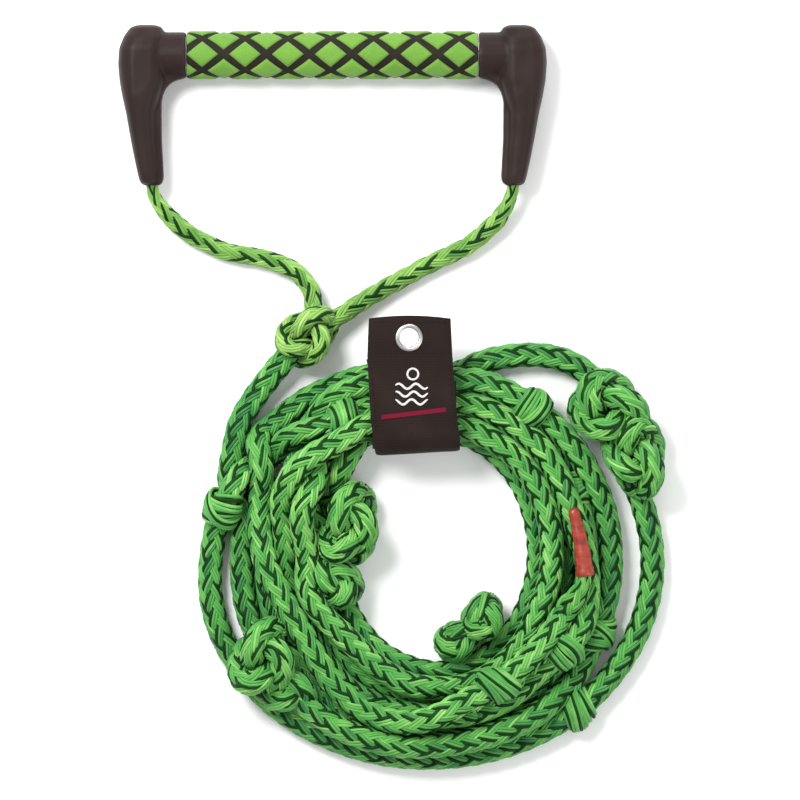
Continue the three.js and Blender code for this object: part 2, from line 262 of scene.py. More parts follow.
def directions(path):
    """Unit tangents of a path."""
    along = np.gradient(path, axis=0)
    return along / np.linalg.norm(along, axis=1)[:, None]


def skin_rings(rings, first=0, closed=False):
    """Quads and end caps over rings of shape (rings, points, 3)."""
    count, points, _ = rings.shape
    last = count if closed else count - 1
    i = np.arange(last)[:, None] * points
    j = np.arange(points)[None, :]
    total = count * points
    a, b = i + j, i + (j + 1) % points
    quads = np.stack([a, b, (b + points) % total, (a + points) % total], -1).reshape(-1, 4) + first
    caps = np.stack([np.arange(points)[::-1], total - points + np.arange(points)]) + first
    return quads, caps


def arc_length(path):
    return np.concatenate([[0], np.cumsum(np.linalg.norm(np.diff(path, axis=0), axis=1))])


def even_path(points, step, smoothing=0.0):
    """The path through the points at an even step, rounded by a Gaussian of that many millimetres."""
    points = np.asarray(points, float)
    s = arc_length(points)
    fine = np.arange(0, s[-1], 1.0)
    path = np.stack([np.interp(fine, s, points[:, k]) for k in range(3)], 1)
    if smoothing:
        reach = int(3 * smoothing)
        kernel = np.exp(-0.5 * (np.arange(-reach, reach + 1) / smoothing) ** 2)
        kernel /= kernel.sum()
        head = 2 * path[0] - path[reach:0:-1]
        tail = 2 * path[-1] - path[-2:-reach - 2:-1]
        padded = np.concatenate([head, path, tail])
        path = np.stack([np.convolve(padded[:, k], kernel, "valid") for k in range(3)], 1)
    s = arc_length(path)
    even = np.linspace(0, s[-1], max(int(round(s[-1] / step)), 2) + 1)
    return np.stack([np.interp(even, s, path[:, k]) for k in range(3)], 1)


def frames_along(path):
    """Tangent, normal and binormal that don't twist along the path."""
    tangent = directions(path)
    normal = np.zeros_like(path)
    start = np.cross(tangent[0], (0, 0, 1.0))
    if np.linalg.norm(start) < 0.1:
        start = np.cross(tangent[0], (1.0, 0, 0))
    current = start / np.linalg.norm(start)
    for k in range(len(path)):
        current = current - tangent[k] * (current @ tangent[k])
        current = current / np.linalg.norm(current)
        normal[k] = current
    return tangent, normal, np.cross(tangent, normal)


# ---- Materials ----
class Nodes:
    """A short way to write a node material."""

    def __init__(self, name, color, roughness, metallic=0.0):
        self.material = bpy.data.materials.new(name)
        self.material.use_nodes = True
        self.tree = self.material.node_tree
        self.shader = self.tree.nodes["Principled BSDF"]
        self.set({"Base Color": (*color, 1), "Roughness": roughness, "Metallic": metallic})

    def set(self, sockets):
        for socket, value in sockets.items():
            self.shader.inputs[socket].default_value = value

    def add(self, kind, inputs=(), **settings):
        node = self.tree.nodes.new(kind)
        for key, value in settings.items():
            setattr(node, key, value)
        for socket, value in dict(inputs).items():
            if isinstance(value, bpy.types.NodeSocket):
                self.tree.links.new(value, node.inputs[socket])
            else:
                node.inputs[socket].default_value = value
        return node

    def place(self, scale=(1, 1, 1), source="Object"):
        coordinates = self.add("ShaderNodeTexCoord")
        mapping = self.add("ShaderNodeMapping", {"Vector": coordinates.outputs[source], "Scale": scale})
        return mapping.outputs[0]

    def noise(self, vector, scale, detail=3.0, roughness=0.5):
        node = self.add("ShaderNodeTexNoise",
                        {"Vector": vector, "Scale": scale, "Detail": detail, "Roughness": roughness})
        return node.outputs["Fac"]

    def ramp(self, value, stops):
        node = self.add("ShaderNodeValToRGB", {"Fac": value})
        elements = node.color_ramp.elements
        while len(elements) < len(stops):
            elements.new(0.5)
        for element, (position, color) in zip(elements, stops):
            element.position = position
            element.color = (*color, 1)
        return node.outputs["Color"]

    def mix(self, factor, a, b):
        node = self.add("ShaderNodeMix", {0: factor}, data_type="RGBA")
        for socket, value in ((6, a), (7, b)):
            if isinstance(value, bpy.types.NodeSocket):
                self.tree.links.new(value, node.inputs[socket])
            else:
                node.inputs[socket].default_value = (*value, 1)
        return node.outputs[2]

    def math(self, operation, a, b=0.0, c=0.0):
        return self.add("ShaderNodeMath", {0: a, 1: b, 2: c}, operation=operation).outputs[0]

    def attribute(self, name):
        return self.add("ShaderNodeAttribute", attribute_name=name).outputs["Fac"]

    def color(self, socket):
        self.tree.links.new(socket, self.shader.inputs["Base Color"])

    def rough(self, value, low, high):
        node = self.add("ShaderNodeMapRange", {"Value": value, "To Min": low, "To Max": high})
        self.tree.links.new(node.outputs[0], self.shader.inputs["Roughness"])

    def bump(self, height, strength, distance):
        node = self.add("ShaderNodeBump", {"Height": height, "Strength": strength, "Distance": distance})
        self.tree.links.new(node.outputs[0], self.shader.inputs["Normal"])


def strand_material(name, deep, middle, bright, sheen=0.15, shine=0.35):
    """Flat fibre yarn: fine filaments along the strand, each strand with its own tone."""
    m = Nodes(name, middle, 0.55)
    filaments = m.noise(m.place((2600, 60, 1), "UV"), 1.0, 4.0, 0.6)
    patches = m.noise(m.place((1, 1, 1)), 90.0, 2.0)
    tone = m.attribute("tone")
    amount = m.math("MULTIPLY_ADD", filaments, 0.55, m.math("MULTIPLY_ADD", patches, 0.35, tone))
    m.color(m.ramp(amount, [(0.28, deep), (0.62, middle), (0.95, bright)]))
    m.rough(filaments, 0.42, 0.68)
    m.bump(filaments, 0.55, 0.0004)
    m.set({"Sheen Weight": sheen, "Sheen Roughness": 0.4, "Specular IOR Level": shine})
    return m.material


GREEN_YARN = strand_material("green_yarn", (0.006, 0.135, 0.030), (0.080, 0.33, 0.052), (0.30, 0.60, 0.155))
PALE_YARN = strand_material("pale_yarn", (0.05, 0.20, 0.02), (0.20, 0.40, 0.075), (0.42, 0.62, 0.20))
DARK_YARN = strand_material("dark_yarn", (0.0006, 0.016, 0.0008), (0.0012, 0.030, 0.0014),
                            (0.004, 0.06, 0.004), sheen=0.0, shine=0.15)


def core_material():
    # Painted shade: the core's dark green shows only in the gaps between strands and stands in for the shade there.
    m = Nodes("rope_core", (0.01, 0.10, 0.02), 0.8)
    weave = m.noise(m.place(), 900.0, 2.0)
    m.color(m.ramp(weave, [(0.3, (0.003, 0.035, 0.006)), (0.7, (0.02, 0.16, 0.03))]))
    m.bump(weave, 0.5, 0.0004)
    return m.material


ROPE_CORE = core_material()


def moulding_material():
    """Satin moulded rubber: a fine grain, faint flow patches and paler convex edges that are a painted highlight."""
    m = Nodes("guard_moulding", (0.020, 0.012, 0.0105), 0.45)
    m.set({"Specular IOR Level": 0.106})
    place = m.place()
    grain = m.noise(place, 2200.0, 3.0, 0.6)
    flow = m.noise(place, 28.0, 4.0, 0.55)
    tint = m.ramp(flow, [(0.3, (0.015, 0.0088, 0.0075)), (0.55, (0.020, 0.0120, 0.0105)),
                         (0.8, (0.028, 0.018, 0.0165))])
    # Painted highlight: the sharper convex edges get a paler colour.
    edges = m.add("ShaderNodeNewGeometry").outputs["Pointiness"]
    painted_edge_highlight = m.ramp(edges, [(0.5, (0, 0, 0)), (0.56, (1, 1, 1))])
    m.color(m.mix(m.math("MULTIPLY", painted_edge_highlight, 0.35), tint, (0.062, 0.046, 0.043)))
    m.rough(m.mix(0.5, grain, flow), 0.36, 0.56)
    m.bump(m.math("MULTIPLY_ADD", flow, 0.5, m.math("MULTIPLY", grain, 0.35)), 0.22, 0.0003)
    return m.material


def foam_material(name, low, high, pore, sheen=0.0):
    """Closed-cell foam: small pores and a soft mottle."""
    m = Nodes(name, high, 0.72)
    place = m.place()
    cells = m.add("ShaderNodeTexVoronoi", {"Vector": place, "Scale": 1700.0},
                  feature="DISTANCE_TO_EDGE").outputs[0]
    mottle = m.noise(place, 60.0, 4.0)
    pores = m.ramp(cells, [(0.0, (0, 0, 0)), (0.16, (1, 1, 1))])
    body = m.ramp(mottle, [(0.3, low), (0.7, high)])
    m.color(m.mix(pores, pore, body))
    m.rough(mottle, 0.62, 0.82)
    m.bump(m.math("MULTIPLY_ADD", mottle, 0.4, pores), 0.3, 0.00015)
    m.set({"Sheen Weight": sheen, "Specular IOR Level": 0.22})
    return m.material


def webbing_material():
    """Plain-woven webbing: ribs across the strap and finer yarns along it."""
    m = Nodes("keeper_webbing", (0.022, 0.014, 0.013), 0.78)
    m.set({"Specular IOR Level": 0.10})
    place = m.place()
    across = m.add("ShaderNodeTexWave", {"Vector": place, "Scale": 190.0, "Distortion": 0.4, "Detail": 1.0},
                   bands_direction="Y").outputs["Fac"]
    along = m.add("ShaderNodeTexWave", {"Vector": place, "Scale": 260.0, "Distortion": 0.3, "Detail": 1.0},
                  bands_direction="X").outputs["Fac"]
    weave = m.math("MULTIPLY", across, along)
    mottle = m.noise(place, 45.0, 4.0)
    tint = m.ramp(mottle, [(0.3, (0.0085, 0.0046, 0.0034)), (0.7, (0.0155, 0.0088, 0.0068))])
    m.color(m.mix(m.math("MULTIPLY", weave, 0.45), tint, (0.026, 0.0165, 0.0136)))
    m.rough(weave, 0.68, 0.88)
    m.bump(m.math("MULTIPLY_ADD", mottle, 0.2, weave), 0.55, 0.0003)
    m.set({"Sheen Weight": 0.06})
    return m.material


def metal_material(name, color, roughness, brushing):
    m = Nodes(name, color, roughness, 1.0)
    scratches = m.noise(m.place(brushing), 1.0, 3.0, 0.6)
    m.rough(scratches, roughness * 0.75, roughness * 1.5)
    m.color(m.mix(m.math("MULTIPLY", scratches, 0.25), color, tuple(c * 0.72 for c in color)))
    m.bump(scratches, 0.08, 0.0001)
    return m.material


def print_material(name, color):
    """Screen-print ink that lets a little of the weave through."""
    m = Nodes(name, color, 0.7)
    m.set({"Specular IOR Level": 0.1})
    speckle = m.noise(m.place(), 1400.0, 3.0)
    m.color(m.ramp(speckle, [(0.32, tuple(c * 0.55 for c in color)), (0.5, color)]))
    m.bump(speckle, 0.3, 0.0002)
    return m.material


def thread_material():
    m = Nodes("keeper_thread", (0.018, 0.012, 0.010), 0.8)
    m.set({"Specular IOR Level": 0.1})
    twist = m.noise(m.place((3000, 900, 900)), 1.0, 2.0)
    m.color(m.ramp(twist, [(0.35, (0.008, 0.005, 0.004)), (0.65, (0.026, 0.018, 0.015))]))
    m.bump(twist, 0.4, 0.0002)
    return m.material


def sleeve_material():
    m = Nodes("sleeve_red", (0.30, 0.026, 0.008), 0.42)
    streaks = m.noise(m.place((60, 400, 400)), 1.0, 3.0)
    m.color(m.ramp(streaks, [(0.3, (0.16, 0.010, 0.005)), (0.7, (0.36, 0.035, 0.009))]))
    m.rough(streaks, 0.34, 0.55)
    m.bump(streaks, 0.2, 0.0003)
    m.set({"Coat Weight": 0.2})
    return m.material


def hook_material():
    m = Nodes("hook_and_loop", (0.012, 0.010, 0.010), 0.95)
    pile = m.add("ShaderNodeTexVoronoi", {"Vector": m.place(), "Scale": 900.0}).outputs["Distance"]
    m.color(m.ramp(pile, [(0.1, (0.03, 0.026, 0.025)), (0.6, (0.006, 0.005, 0.005))]))
    m.bump(pile, 0.9, 0.0006)
    return m.material


MOULDING = moulding_material()
GREEN_FOAM = foam_material("grip_green_foam", (0.115, 0.265, 0.030), (0.155, 0.325, 0.042),
                           (0.08, 0.20, 0.022), sheen=0.15)
DARK_FOAM = foam_material("grip_dark_foam", (0.007, 0.0062, 0.0016), (0.019, 0.0150, 0.0050),
                          (0.004, 0.0035, 0.001))
WEBBING = webbing_material()
PLATED = metal_material("grommet_metal", (0.52, 0.51, 0.50), 0.30, (900, 900, 60))
ALUMINIUM = metal_material("bar_aluminium", (0.74, 0.75, 0.77), 0.34, (60, 900, 900))
THREAD = thread_material()
WHITE_INK = print_material("print_white", (0.60, 0.57, 0.56))
RED_INK = print_material("print_red", (0.145, 0.004, 0.020))
SLEEVE = sleeve_material()
HOOK = hook_material()


# ---- Camera, light and floor ----
def make_camera():
    """Straight above the object, with the handle at the top of the frame."""
    frame_width, height, centre = 473.6, 5000.0, (39.96, -174.3)
    data = bpy.data.cameras.new("camera")
    data.sensor_width = 36
    data.lens = data.sensor_width * (height - AXIS_Z) / frame_width
    data.clip_end = 50
    camera = bpy.data.objects.new("camera", data)
    camera.location = (centre[0] * MM, centre[1] * MM, height * MM)
    bpy.context.scene.collection.objects.link(camera)
    bpy.context.scene.camera = camera


def area_light(name, place, target, size, power):
    data = bpy.data.lights.new(name, "AREA")
    data.shape = "DISK"
    data.size = size
    data.energy = power
    light = bpy.data.objects.new(name, data)
    light.location = place
    direction = Vector(target) - Vector(place)
    light.rotation_euler = direction.to_track_quat("-Z", "Y").to_euler()
    bpy.context.scene.collection.objects.link(light)


def make_studio():
    target = (0.05, -0.18, 0)
    area_light("key", (-0.55, 0.45, 1.15), target, 0.6, 24)
    area_light("fill", (0.95, -0.75, 0.9), target, 1.1, 8)
    area_light("rim", (0.25, 0.95, 0.5), target, 0.6, 5)
    world = bpy.data.worlds.new("studio")
    world.use_nodes = True
    background = world.node_tree.nodes["Background"]
    background.inputs["Color"].default_value = (1, 1, 1, 1)
    background.inputs["Strength"].default_value = 0.62
    bpy.context.scene.world = world
    bpy.context.scene.view_settings.view_transform = "Standard"
    reach = 4000.0
    corners = [(-reach, -reach, 0), (reach, -reach, 0), (reach, reach, 0), (-reach, reach, 0)]
    paper = Nodes("pale_floor", (0.93, 0.93, 0.93), 0.9)
    paper.bump(paper.noise(paper.place(), 400.0, 3.0), 0.03, 0.0002)
    floor = mesh_object("studio_floor", corners, [np.array([[0, 1, 2, 3]])], [paper.material], smooth=False)
    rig.stage(floor)


# ---- Braided rope ----
MAIN_BRAID = dict(radius=7.4, strands=8, lay=84.0, thick=1.9, wave=0.85, plain=(), step=2.8)
BRIDLE_BRAID = dict(radius=5.5, strands=6, lay=70.0, thick=1.6, wave=0.7, plain=(4,), step=2.6)
YARN_SIDES = 5
CORE_SIDES = 8
OVERLAP = 1.12                   # a strand's width as a share of its room round the rope
SIDE_YARN_DROP = 0.35            # how much lower a strand's two side yarns lie than its middle one
DARK_YARN_PROUD = 0.12
WIDTH_PARTS = {True: 3.5, False: 5.2}      # a strand's width over half a yarn's, for dark and other yarns


def tube_rings(path, radius, sides):
    """Rings of a round tube whose radius changes along the path."""
    _, normal, binormal = frames_along(path)
    turn = turns(sides)
    return (path[:, None, :]
            + (np.cos(turn)[None, :] * radius[:, None])[..., None] * normal[:, None, :]
            + (np.sin(turn)[None, :] * radius[:, None])[..., None] * binormal[:, None, :])


def braid_rings(path, start, rope, squeeze):
    """Yields each yarn's rings, the distance along, whether it is dark and which way it turns.

    Half the strands turn one way and half the other. Each rides over two crossings and then under two, so
    the surface shows columns of V shapes along the rope. A strand is three yarns side by side. One is dark in
    every strand that turns one way and every third that turns the other way, except in the plain strands.
    """
    tangent, normal, binormal = frames_along(path)
    along = start + arc_length(path)
    count, lay = rope["strands"], rope["lay"]
    middle_r = rope["radius"] - 0.75 * rope["wave"] - rope["thick"] / 2
    slant = math.atan(2 * math.pi * middle_r / lay)
    width = OVERLAP * 2 * math.pi * middle_r / count * math.cos(slant)
    corners = turns(YARN_SIDES)
    crossings = 2 * count * along / lay
    for way in (1, -1):
        for k in range(count):
            angle = 2 * math.pi * (k / count + way * along / lay)
            over = np.cos(math.pi / 2 * (2 * k + way * crossings - 0.5)) * way
            radius = (middle_r + rope["wave"] * over) * squeeze
            outward = np.cos(angle)[:, None] * normal + np.sin(angle)[:, None] * binormal
            around = -np.sin(angle)[:, None] * normal + np.cos(angle)[:, None] * binormal
            side = around * math.cos(slant) - way * tangent * math.sin(slant)
            for place in (-1, 0, 1):
                centre = path + radius[:, None] * outward + (squeeze * place * width / 3)[:, None] * side
                centre = centre - (SIDE_YARN_DROP * abs(place) * squeeze)[:, None] * outward
                dark = place == way and (way == 1 or k % 3 == 0) and k not in rope["plain"]
                half_w = squeeze * width / WIDTH_PARTS[dark]
                half_t = squeeze * (rope["thick"] / 2 + (DARK_YARN_PROUD if dark else 0.0))
                rings = (centre[:, None, :]
                         + (np.cos(corners)[None, :] * half_t[:, None])[..., None] * outward[:, None, :]
                         + (np.sin(corners)[None, :] * half_w[:, None])[..., None] * side[:, None, :])
                yield rings, along, dark, way


def yarn_uv(along):
    across = np.arange(YARN_SIDES)[None, :] * 0.5 + RANDOM.uniform(0, 400) + 0 * along[:, None]
    length = along[:, None] + 0 * across
    return np.stack([across, length], -1).reshape(-1, 2) * MM


def yarn_tone(path, along, way):
    """A yarn's tone, which drifts slowly along it at random, with painted shade: darker where the rope lies lower and
    lighter where it lies higher.
    """
    # Painted shade: the tone falls with the rope's height above the floor, so lower turns come out darker.
    height = 0.006 * (path[:, 2] - 18)
    shade_and_drift = height + 0.07 * np.sin(along / 31.0 + RANDOM.uniform(0, 2 * math.pi))
    return np.repeat(RANDOM.uniform(0.0, 0.22) - 0.05 * way + shade_and_drift, YARN_SIDES)


def braided_rope(name, path, rope, start=0.0, squeeze=None, green=GREEN_YARN):
    """One mesh of a braided rope that follows an even path: a round core under the yarns, dark green as painted shade
    in the gaps between them.
    """
    squeeze = np.ones(len(path)) if squeeze is None else squeeze
    core = tube_rings(path, (rope["radius"] - rope["thick"] - rope["wave"] * 0.6) * squeeze, CORE_SIDES)
    core_quads, core_caps = skin_rings(core)
    first = core.shape[0] * CORE_SIDES
    verts, uvs, tones = [core.reshape(-1, 3)], [np.zeros((first, 2))], [np.full(first, 0.3)]
    quads, caps, quad_kinds, cap_kinds = [core_quads], [], [np.full(len(core_quads), 2)], [np.full(2, 2)]
    for rings, along, dark, way in braid_rings(path, start, rope, squeeze):
        yarn_quads, yarn_caps = skin_rings(rings, first)
        first += rings.shape[0] * YARN_SIDES
        verts.append(rings.reshape(-1, 3))
        quads.append(yarn_quads)
        caps.append(yarn_caps)
        uvs.append(yarn_uv(along))
        tones.append(yarn_tone(path, along, way))
        quad_kinds.append(np.full(len(yarn_quads), int(dark)))
        cap_kinds.append(np.full(2, int(dark)))
    groups = [np.concatenate(quads), core_caps, np.concatenate(caps)]
    kinds = np.concatenate([*quad_kinds, *cap_kinds])
    return mesh_object(name, np.concatenate(verts), groups, [green, DARK_YARN, ROPE_CORE], kinds,
                       np.concatenate(uvs), np.concatenate(tones))


# ---- Routes ----
LEFT_LEG = [
    (-106.8, -40, 15), (-106.8, -48.7, 15), (-106.8, -52, 14.9), (-103.5, -58, 13), (-96, -67, 9.5),
    (-84.4, -76.7, 7), (-63.6, -86.7, 6.1), (-40, -90.3, 6.1), (-22, -97, 7),
    (-12, -109, 10), (-11, -124, 13), (-14, -134, 14),
]
RIGHT_LEG = [
    (106.8, -40, 15), (106.8, -48.7, 15), (106.8, -52, 14.9), (104, -58, 13), (98, -68, 9.5),
    (81.4, -82.6, 7), (57.7, -93.6, 6.1), (34, -106.3, 6.1), (18, -115.5, 8), (-2, -129, 13), (-12, -136, 14),
]
LEAD = [(-18, -138, 14), (-24, -145, 14), (-33, -155.5, 11), (-45.5, -171.5, 9), (-55.5, -187.5, 9)]
FAR_END = [(149.0, -284, 33), (148.0, -272, 33), (145.5, -256, 33)]

# Each turn of the coil: its place across the band, from 0 at the hole to 1 at the edge, and its first height.
TURNS = [(0.93, 26), (0.06, 8), (0.40, 8), (0.72, 8), (0.22, 27), (0.56, 27), (1.0, 9), (0.50, 36)]
LOOSE_TURN = 6                   # keeps outside the others, so that the background shows between
BAND_EDGE = [0.58, 0.60, 0.72, 0.95, 0.95, 0.95, 0.70, 0.70, 0.84, 0.92, 0.86, 0.68]     # every 30 degrees
LOOSE_BULGE = dict(middle=59.0, spread=17.0, out=29.0)
START_ANGLE = 152.0
WHOLE_TURNS = 7.52
CROSSING_SHARE = 0.30            # of a turn, over which the rope moves from one place to the next


def ellipse_point(ellipse, angle, grow=0.0):
    return np.stack([ellipse["x"] + (ellipse["rx"] + grow) * np.cos(angle),
                     ellipse["y"] + (ellipse["ry"] + grow) * np.sin(angle)], -1)


def first_coil():
    """The coil before it settles, and how far out each point may go as a share of the outer edge.

    The turns are at their places, each crossing over the others as it moves to the next.
    """
    turns = np.arange(0, WHOLE_TURNS, 1 / 90)
    angle = np.radians(START_ANGLE) + 2 * math.pi * turns
    places = np.array(TURNS, float)
    index = np.floor(turns + CROSSING_SHARE / 2).astype(int).clip(0, len(TURNS) - 1)
    share = ((turns - (index - CROSSING_SHARE / 2)) / CROSSING_SHARE).clip(0, 1)
    share = share * share * (3 - 2 * share)
    before = places[np.maximum(index - 1, 0)]
    spot = before + (places[index] - before) * share[:, None]
    loose = (index == LOOSE_TURN) * share + (index == LOOSE_TURN + 1) * (1 - share)
    lift = 18 * np.sin(math.pi * share) * (index > 0)
    across = spot[:, 0] + 0.08 * np.sin(2 * angle + 1.7 * index) + 0.06 * np.sin(3 * angle + 2.9 * index)
    across += 0.04 * np.sin(5 * angle + 4.1 * index)
    heading = np.degrees(angle) % 360
    edge = np.interp(heading, np.arange(0, 361, 30), BAND_EDGE + BAND_EDGE[:1])
    across = across.clip(0, 1) * edge * (1 - loose) + loose
    inner, outer = ellipse_point(COIL_HOLE, angle, ROPE_R), ellipse_point(COIL_OUTER, angle, -ROPE_R)
    xy = inner + (outer - inner) * across[:, None]
    bulge = LOOSE_BULGE["out"] * np.exp(-((heading - LOOSE_BULGE["middle"]) / LOOSE_BULGE["spread"]) ** 2)
    xy += (outer - inner) / np.linalg.norm(outer - inner, axis=1)[:, None] * (bulge * loose)[:, None]
    points = np.concatenate([xy, (spot[:, 1] + lift)[:, None]], 1)
    band = distance_share(inner + (outer - inner) * edge[:, None], COIL_OUTER, -ROPE_R) + 0.015
    return points, np.maximum(band, distance_share(xy, COIL_OUTER, -ROPE_R))


def distance_share(points, ellipse, grow):
    """1 on the ellipse, more outside it."""
    x = (points[:, 0] - ellipse["x"]) / (ellipse["rx"] + grow)
    y = (points[:, 1] - ellipse["y"]) / (ellipse["ry"] + grow)
    return np.sqrt(x * x + y * y) + 1e-6


def keep_inside(points, limit):
    """Moves points half of the way back to the band between the coil's hole and its outer edge."""
    for ellipse, far, wrong in (
            (COIL_OUTER, distance_share(points, COIL_OUTER, -ROPE_R) / limit, np.greater),
            (COIL_HOLE, distance_share(points, COIL_HOLE, ROPE_R - 1), np.less)):
        back = np.where(wrong(far, 1), 0.5 + 0.5 / far, 1.0)
        points[:, 0] = ellipse["x"] + (points[:, 0] - ellipse["x"]) * back
        points[:, 1] = ellipse["y"] + (points[:, 1] - ellipse["y"]) * back


def push_apart(points, near, gap):
    """Moves apart every two points that are closer than the rope is thick and not neighbours along it."""
    away = points[:, None, :] - points[None, :, :]
    distance = np.sqrt((away ** 2).sum(-1)) + 1e-6
    overlap = np.where(near, 0.0, np.maximum((gap[:, None] + gap[None, :]) / 2 - distance, 0.0))
    count = np.maximum((overlap > 0).sum(1), 1)
    return (away * (overlap / distance)[..., None]).sum(1) * (0.5 / count ** 0.5)[:, None]


SETTLE = dict(fall=0.5, home=0.06, straighten=0.10, link=0.4, gap=14.9, held_gap=13.6, margin=6, far=-230)


def settle(start, limit, step, rounds):
    """Lets the turns come to rest on the floor and on each other, under the keeper where it holds them."""
    points = even_path(start, step, 6.0)
    before, after = arc_length(start), arc_length(points)
    limit = np.interp(after / after[-1], before / before[-1], limit)
    goal = points[:, :2].copy()
    order = np.arange(len(points))
    near = np.abs(order[:, None] - order[None, :]) < 4
    rope_r, margin = MAIN_BRAID["radius"], SETTLE["margin"]
    for _ in range(rounds):
        x, y = points[:, 0], points[:, 1]
        held = (x > KEEPER_X[0] - margin) & (x < KEEPER_X[1] + margin) & (y > SETTLE["far"])
        gap = np.where(held, SETTLE["held_gap"], SETTLE["gap"])
        points[:, 2] -= SETTLE["fall"]
        points[:, :2] += SETTLE["home"] * (goal - points[:, :2])
        points[1:-1] += SETTLE["straighten"] * ((points[:-2] + points[2:]) / 2 - points[1:-1])
        for _ in range(3):
            points += push_apart(points, near, gap)
            link = np.diff(points, axis=0)
            length = np.linalg.norm(link, axis=1)[:, None]
            pull = link * (SETTLE["link"] * (1 - step / length))
            points[:-1] += pull
            points[1:] -= pull
            points[:, 2] = np.maximum(points[:, 2], ROPE_R)
            keep_inside(points, limit)
            points[held, 1] = points[held, 1].clip(BUNDLE["inner"] + rope_r, BUNDLE["outer"] - rope_r)
            points[held, 2] = points[held, 2].clip(BUNDLE["low"] + rope_r, BUNDLE["high"] - 7.2)
    return points


def main_rope_path():
    coil = settle(*first_coil(), 8.0, 60 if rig.quick() else 170)
    whole = np.concatenate([np.array(LEAD, float), coil, np.array(FAR_END, float)])
    return even_path(whole, MAIN_BRAID["step"], 5.0)


def narrowed_end(path):
    """The rope's share of its full width: it narrows into the sleeve at its far end."""
    to_end = arc_length(path)[-1] - arc_length(path)
    return 0.42 + 0.58 * np.clip((to_end - 16) / 26, 0, 1)


def bridle_leg(name, route, exit_x):
    """A leg, squeezed inside the guard's mouth and full size a little beyond it."""
    path = even_path(route, BRIDLE_BRAID["step"], 4.0)
    from_mouth = arc_length(path) - (route[0][1] - EXIT[1])
    squeeze = 0.68 + 0.32 * np.clip((from_mouth - 4) / 22, 0, 1)
    leg = braided_rope(name, path, BRIDLE_BRAID, squeeze=squeeze, green=PALE_YARN)
    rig.blend(leg, "handle", "rope", start=(exit_x * MM, -0.046, 0.015), end=(exit_x * MM, -0.070, 0.015))
    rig.slot(leg, "rope_braid")
    return leg, path


def knot_loop(at, length, width, height, heading, rope_r):
    """Closed route of a tight knot, with three lobes, whose rope fills the given half sizes."""
    t = np.linspace(0, 2 * math.pi, 160)
    reach = (1 + 0.42 * np.cos(3 * t)) / 1.42
    x = reach * np.cos(2 * t) * (length - rope_r)
    y = reach * np.sin(2 * t) * (width - rope_r)
    z = np.sin(3 * t) * (height - rope_r)
    c, s = math.cos(math.radians(heading)), math.sin(math.radians(heading))
    return np.stack([at[0] + c * x - s * y, at[1] + s * x + c * y, at[2] + z], 1)


# Each knot is one or two tangles: place, half sizes along, across and up, and the direction of the first.
KNOTS = {
    "yoke_knot": [((-15.1, -136.5, 15.2), (22, 17.5, 14.5), 42)],
    "joint_knot_upper_right": [((163, -179, 20), (27, 23, 19), -30),
                               ((179, -206.5, 19.5), (28, 20, 19), -75)],
    "joint_knot_inner_left": [((9.5, -249, 20.5), (28, 19.5, 19), 75), ((3, -281, 17), (20, 14.5, 16), 125)],
    "joint_knot_inner_low": [((89, -303, 18.5), (16, 13.5, 17), 75), ((74, -316.5, 14), (17, 12.5, 13), 30)],
    "joint_knot_lower_left": [((-41, -328, 20.5), (27, 21, 20), 70), ((-29, -344, 15), (22, 17, 14.5), -30)],
}


def make_knot(name, tangles):
    rope, green = (BRIDLE_BRAID, PALE_YARN) if name == "yoke_knot" else (MAIN_BRAID, GREEN_YARN)
    pieces = []
    for k, (at, size, heading) in enumerate(tangles):
        loop = knot_loop(at, *size, heading, rope["radius"])
        knot = braided_rope(f"{name}_braid_{k + 1}", even_path(loop, 2.1, 1.5), rope, green=green)
        assign(knot, "rope", "rope_braid")
        pieces.append(knot)
    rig.replaces(pieces[0], name)
    return pieces


WRAP_PLACES = [
    (-71.9, -240), (10.4, -181.4), (125.8, -180.3), (143.6, -221.7),
    (93.8, -336), (130.5, -325.3), (161.3, -306.4), (150.7, -351.9),
]

WRAP = dict(yarns=12, crossing=4, half_length=9.5, inner=7.3, bulge=2.9, sides=8)
FLOOR_CLEARANCE = 0.4


def strand_near(place, path):
    """The stretch of rope under a small knot: the uppermost strand near the place."""
    flat = np.linalg.norm(path[:, :2] - np.array(place), axis=1)
    close = np.where(flat < ROPE_R)[0]
    centre = close[np.argmax(path[close, 2])] if len(close) else int(np.argmin(flat))
    reach = int(WRAP["half_length"] / MAIN_BRAID["step"]) + 2
    return path[max(centre - reach, 0):centre + reach + 1]


def wrap_yarns(number, stretch):
    """Yields each yarn's closed rings and UV. Most lie side by side, and the last few cross over them."""
    tangent, normal, binormal = frames_along(stretch)
    s = arc_length(stretch)
    turn = np.linspace(0, 2 * math.pi, 41)[:-1]
    corners = turns(WRAP["sides"])
    yarns = WRAP["yarns"]
    for k in range(yarns + WRAP["crossing"]):
        over = k >= yarns
        share = (k - yarns - 1.5) / 5 if over else (k - (yarns - 1) / 2) / ((yarns - 1) / 2)
        lean = -4.5 if over else 2.6 * math.sin(number * 2.1) + 0.9 * math.sin(k * 1.3 + number)
        place_s = s[-1] / 2 + share * WRAP["half_length"] * 0.92 + lean * np.sin(turn + number)
        radius = WRAP["inner"] + WRAP["bulge"] * math.sqrt(max(1 - share * share, 0.0))
        radius = radius + 0.35 * np.sin(3 * turn + k) + 0.9 * over
        middle, across, up, forward = (np.stack([np.interp(place_s, s, a[:, j]) for j in range(3)], 1)
                                       for a in (stretch, normal, binormal, tangent))
        outward = np.cos(turn)[:, None] * across + np.sin(turn)[:, None] * up
        rings = ((middle + radius[:, None] * outward)[:, None, :]
                 + np.cos(corners)[None, :, None] * outward[:, None, :]
                 + np.sin(corners)[None, :, None] * 1.15 * forward[:, None, :])
        rings[..., 2] = np.maximum(rings[..., 2], FLOOR_CLEARANCE)
        uv = np.stack(np.meshgrid(turn * 10, corners + 5 * k, indexing="ij")[::-1], -1)
        yield rings, uv.reshape(-1, 2) * MM


